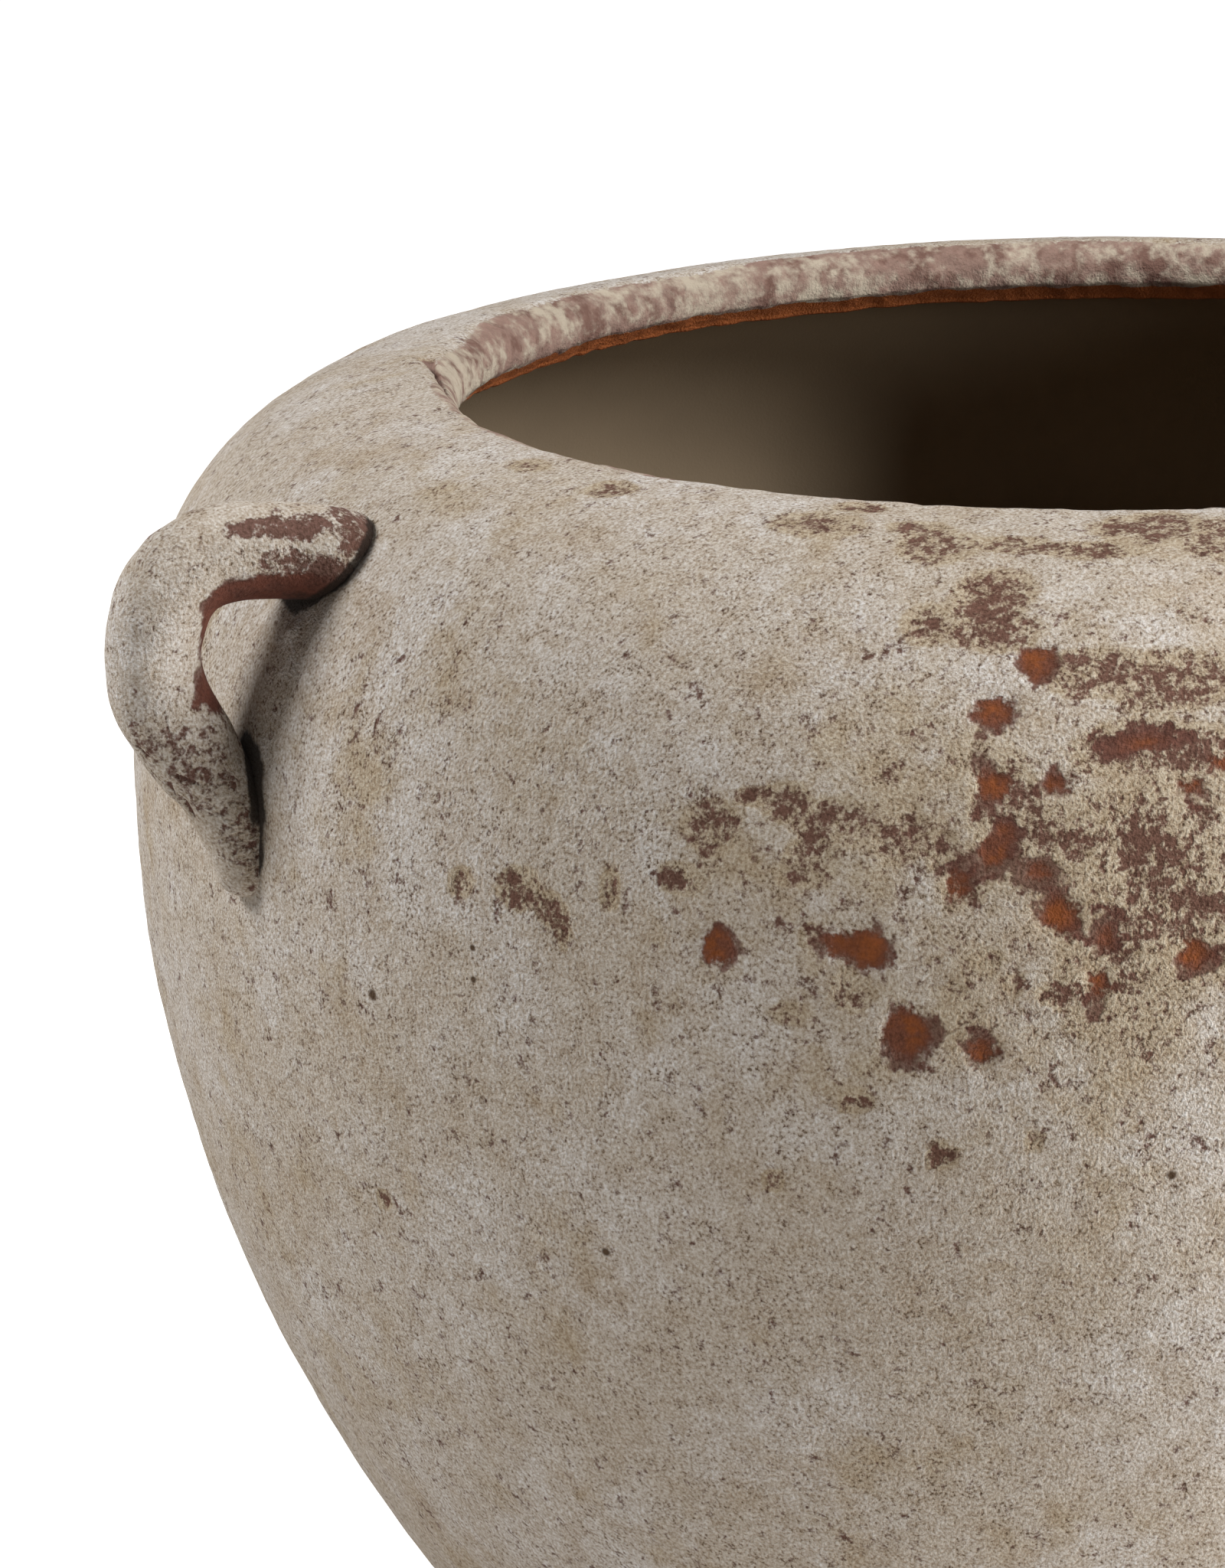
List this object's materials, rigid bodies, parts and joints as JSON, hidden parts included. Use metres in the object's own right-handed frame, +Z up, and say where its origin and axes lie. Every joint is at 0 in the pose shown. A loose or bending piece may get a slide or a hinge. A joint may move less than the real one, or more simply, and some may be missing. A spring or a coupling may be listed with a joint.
{
  "type": "vase",
  "caption": "Round-bellied clay vase with a wide mouth, a rounded lip and small loop handles on the shoulder, for flowers or a plant.",
  "frame": {"origin": "middle of the flat base, on the surface that the vase stands on", "axes": "+Z up along the vase's axis, X through both handles"},
  "size_m": [0.3792, 0.34, 0.25],
  "materials": {
    "wall_clay": "matt sandy slip, worn through to red clay in patches",
    "lip_clay": "matt slip worn to brown clay, with a bare red edge",
    "handle_clay": "matt sandy slip over red clay, dark speckled"
  },
  "bodies": {
    "root": {"base_slab": "wall_clay", "lower_wall": "wall_clay", "shoulder_wall": "wall_clay", "lip_coil": "lip_clay", "handle_left": "handle_clay", "handle_right": "handle_clay"}
  },
  "joints": []
}
